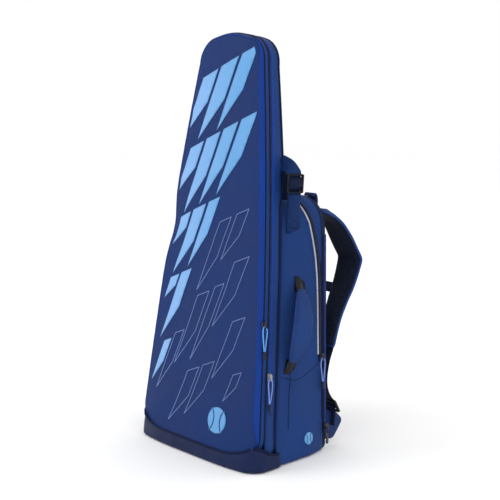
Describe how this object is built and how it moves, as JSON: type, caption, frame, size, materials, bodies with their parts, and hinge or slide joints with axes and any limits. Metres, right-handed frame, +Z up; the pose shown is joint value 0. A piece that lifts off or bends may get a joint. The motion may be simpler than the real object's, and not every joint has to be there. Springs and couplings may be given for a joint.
{
  "type": "racket backpack",
  "caption": "Tall tapered racket backpack with a fold-down front cover, zipped main compartment, side carry handle and padded shoulder straps.",
  "frame": {"origin": "centre of the base, on the surface the bag stands on", "axes": "+Z up, front cover faces -Y, +X to the right when looking at the front"},
  "size_m": [0.3347, 0.2925, 0.75],
  "materials": {
    "front_fabric": "printed polyester twill, satin",
    "side_fabric": "plain-weave polyester",
    "coated_base": "coated tarpaulin, semi-matt",
    "back_fabric": "heavy polyester",
    "board": "plain sheet",
    "zip_coil": "nylon coil on royal blue tape",
    "reflective": "reflective piping",
    "mesh": "spacer mesh",
    "strap_fabric": "padded strap fabric",
    "webbing": "ribbed polyester webbing",
    "black_plastic": "moulded acetal",
    "slider_metal": "gunmetal zip slider",
    "pull_cord": "braided cord",
    "pull_grip": "moulded cord end"
  },
  "bodies": {
    "root": {"base_panel": "coated_base", "cover_foot": "front_fabric", "base_board": "board", "racket_gusset": "side_fabric", "divider_panel": "side_fabric", "racket_zip": "zip_coil", "main_shell": "side_fabric", "back_panel": "back_fabric", "frame_sheet": "board", "laptop_sleeve": "side_fabric", "main_zip": "zip_coil", "main_piping": "reflective", "rear_zip": "zip_coil", "back_pad_left": "mesh", "back_pad_right": "mesh", "shoulder_strap_left": "strap_fabric", "shoulder_strap_right": "strap_fabric", "strap_tab_left": "back_fabric", "strap_tab_right": "back_fabric", "strap_webbing_left": "webbing", "strap_webbing_right": "webbing", "wing_tab_left": "back_fabric", "wing_tab_right": "back_fabric", "compression_upper_left": "webbing", "compression_upper_right": "webbing", "compression_lower_left": "webbing", "compression_lower_right": "webbing", "handle_anchor_top": "black_plastic", "handle_anchor_bottom": "black_plastic"},
    "cover": {"racket_cover": "front_fabric", "pocket_zip": "zip_coil"},
    "pocket_slider": {"pocket_slider": "slider_metal"},
    "pocket_pull": {"pocket_pull": "pull_cord", "pocket_grip": "pull_grip"},
    "racket_slider_left": {"racket_slider_left": "slider_metal"},
    "racket_pull_left": {"racket_pull_left": "pull_cord", "racket_grip_left": "pull_grip"},
    "racket_slider_right": {"racket_slider_right": "slider_metal"},
    "racket_pull_right": {"racket_pull_right": "pull_cord", "racket_grip_right": "pull_grip"},
    "main_slider": {"main_slider": "slider_metal"},
    "main_pull": {"main_pull": "pull_cord", "main_grip": "pull_grip"},
    "rear_slider": {"rear_slider": "slider_metal"},
    "rear_puller": {"rear_puller": "slider_metal"},
    "haul_loop": {"haul_loop": "webbing"},
    "side_handle": {"side_handle": "side_fabric"},
    "compression_lock_left": {"compression_lock_left": "black_plastic"},
    "compression_lock_right": {"compression_lock_right": "black_plastic"},
    "ladder_lock_left": {"ladder_lock_left": "black_plastic"},
    "ladder_lock_right": {"ladder_lock_right": "black_plastic"},
    "chest_strap": {"chest_slider_left": "black_plastic", "chest_slider_right": "black_plastic", "chest_webbing_left": "webbing", "chest_buckle_female": "black_plastic"},
    "chest_release": {"chest_webbing_right": "webbing", "chest_buckle_male": "black_plastic"}
  },
  "joints": [
    {"name": "racket_cover_hinge", "type": "hinge", "parent": "root", "child": "cover", "pos_m": [0, -0.07265, 0.14881], "axis": [1, 0, 0], "range_deg": [0, 80]},
    {"name": "racket_zip_right", "type": "slide", "parent": "root", "child": "racket_slider_right", "axis": [-0.0806, 0.1253, 0.9888], "range_m": [0, 0.11]},
    {"name": "racket_pull_right", "type": "hinge", "parent": "racket_slider_right", "child": "racket_pull_right", "pos_m": [0.15407, -0.04771, 0.16032], "axis": [0, -0.9921, 0.1257], "range_deg": [0, 150]},
    {"name": "racket_zip_left", "type": "slide", "parent": "root", "child": "racket_slider_left", "axis": [0.0806, 0.1253, 0.9888], "range_m": [0, 0.11]},
    {"name": "racket_pull_left", "type": "hinge", "parent": "racket_slider_left", "child": "racket_pull_left", "pos_m": [-0.15407, -0.04771, 0.16032], "axis": [0, 0.9921, -0.1257], "range_deg": [0, 150]},
    {"name": "pocket_zip_slide", "type": "slide", "parent": "cover", "child": "pocket_slider", "axis": [-0.0958, 0.1251, 0.9875], "range_m": [-0.05, 0.13]},
    {"name": "pocket_pull_swing", "type": "hinge", "parent": "pocket_slider", "child": "pocket_pull", "pos_m": [0.14614, -0.05355, 0.25185], "axis": [0, -0.9921, 0.1257], "range_deg": [0, 150]},
    {"name": "main_zip_slide", "type": "slide", "parent": "root", "child": "main_slider", "axis": [-0.0198, 0.0015, 0.9998], "range_m": [0, 0.1]},
    {"name": "main_pull_swing", "type": "hinge", "parent": "main_slider", "child": "main_pull", "pos_m": [0.15915, 0.07768, 0.17529], "axis": [-0.0737, -0.9973, 0], "range_deg": [0, 150]},
    {"name": "rear_zip_slide", "type": "slide", "parent": "root", "child": "rear_slider", "axis": [-0.0152, 0, 0.9999], "range_m": [0, 0.33]},
    {"name": "rear_pull_swing", "type": "hinge", "parent": "rear_slider", "child": "rear_puller", "pos_m": [0.16199, 0.0875, 0.04527], "axis": [0, -1, 0], "range_deg": [0, 150]},
    {"name": "haul_loop_swing", "type": "hinge", "parent": "root", "child": "haul_loop", "pos_m": [0, 0.094, 0.444], "axis": [1, 0, 0], "range_deg": [0, 150]},
    {"name": "side_handle_swing", "type": "hinge", "parent": "root", "child": "side_handle", "pos_m": [0.15416, 0.01684, 0.2436], "axis": [-0.0516, 0.2083, 0.9767], "range_deg": [-35, 35]},
    {"name": "compression_lock_right", "type": "hinge", "parent": "root", "child": "compression_lock_right", "pos_m": [0.13439, 0.02621, 0.4765], "axis": [0.2756, 0.9613, 0], "range_deg": [0, 11]},
    {"name": "ladder_lock_right", "type": "hinge", "parent": "root", "child": "ladder_lock_right", "pos_m": [0.138, 0.129, 0.06473], "axis": [-1, 0, 0], "range_deg": [0, 25]},
    {"name": "compression_lock_left", "type": "hinge", "parent": "root", "child": "compression_lock_left", "pos_m": [-0.13439, 0.02621, 0.4765], "axis": [0.2756, -0.9613, 0], "range_deg": [0, 11]},
    {"name": "ladder_lock_left", "type": "hinge", "parent": "root", "child": "ladder_lock_left", "pos_m": [-0.138, 0.129, 0.06473], "axis": [-1, 0, 0], "range_deg": [0, 25]},
    {"name": "chest_strap_height", "type": "slide", "parent": "root", "child": "chest_strap", "axis": [0, 0.5446, 0.8387], "range_m": [-0.03, 0.03]},
    {"name": "chest_buckle_release", "type": "slide", "parent": "chest_strap", "child": "chest_release", "axis": [1, 0, 0], "range_m": [0, 0.014]}
  ]
}
